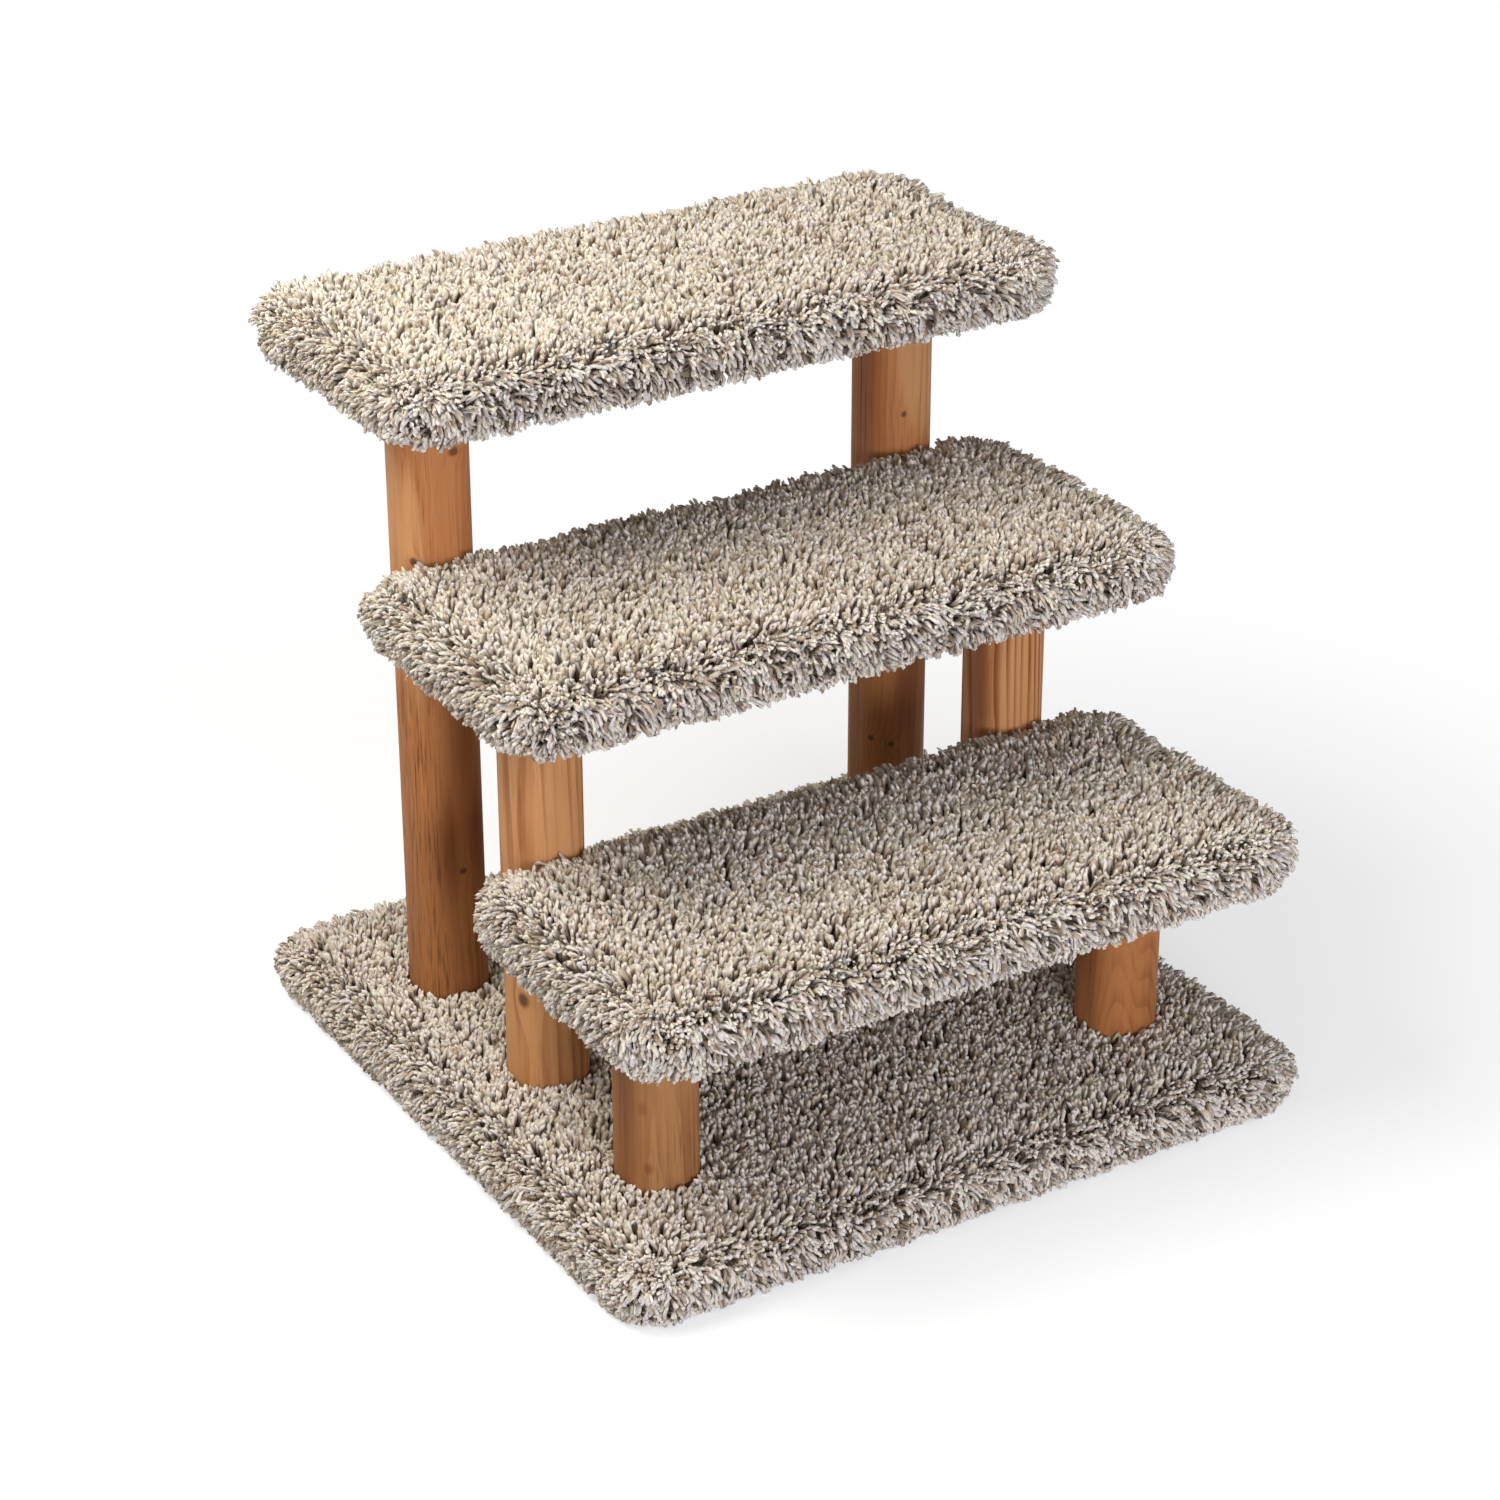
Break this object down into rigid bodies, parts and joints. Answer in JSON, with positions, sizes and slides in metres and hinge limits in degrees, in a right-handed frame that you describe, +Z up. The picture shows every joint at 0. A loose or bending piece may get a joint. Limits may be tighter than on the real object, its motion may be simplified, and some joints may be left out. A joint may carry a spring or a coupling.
{
  "type": "pet stairs",
  "caption": "Free-standing pet stairs: shaggy carpeted steps, each on a pair of rounded wooden posts, over a carpeted square base.",
  "frame": {"origin": "middle of the footprint on the floor, under the centre of the base", "axes": "+X to the right along the steps' width as seen from the lowest step, +Y towards the back, the way the steps climb, +Z up"},
  "size_m": [0.674, 0.673, 0.659],
  "materials": {
    "carpet": "cut shag pile of twisted two-ply yarn, cream heathered with grey and brown, on a woven backing",
    "post_wood": "stained softwood with visible grain and a few knots, satin clear coat",
    "plywood": "bare plywood, sanded",
    "fastener_steel": "zinc-plated steel"
  },
  "bodies": {
    "root": {"base_board": "plywood", "lower_step_board": "plywood", "middle_step_board": "plywood", "upper_step_board": "plywood", "lower_left_post": "post_wood", "lower_right_post": "post_wood", "middle_left_post": "post_wood", "middle_right_post": "post_wood", "upper_left_post": "post_wood", "upper_right_post": "post_wood", "base_carpet": "carpet", "lower_step_carpet": "carpet", "middle_step_carpet": "carpet", "upper_step_carpet": "carpet", "lower_step_screws": "fastener_steel", "middle_step_screws": "fastener_steel", "upper_step_screws": "fastener_steel", "lower_base_screws": "fastener_steel", "middle_base_screws": "fastener_steel", "upper_base_screws": "fastener_steel", "base_staples": "fastener_steel", "lower_step_staples": "fastener_steel", "middle_step_staples": "fastener_steel", "upper_step_staples": "fastener_steel"}
  },
  "joints": []
}
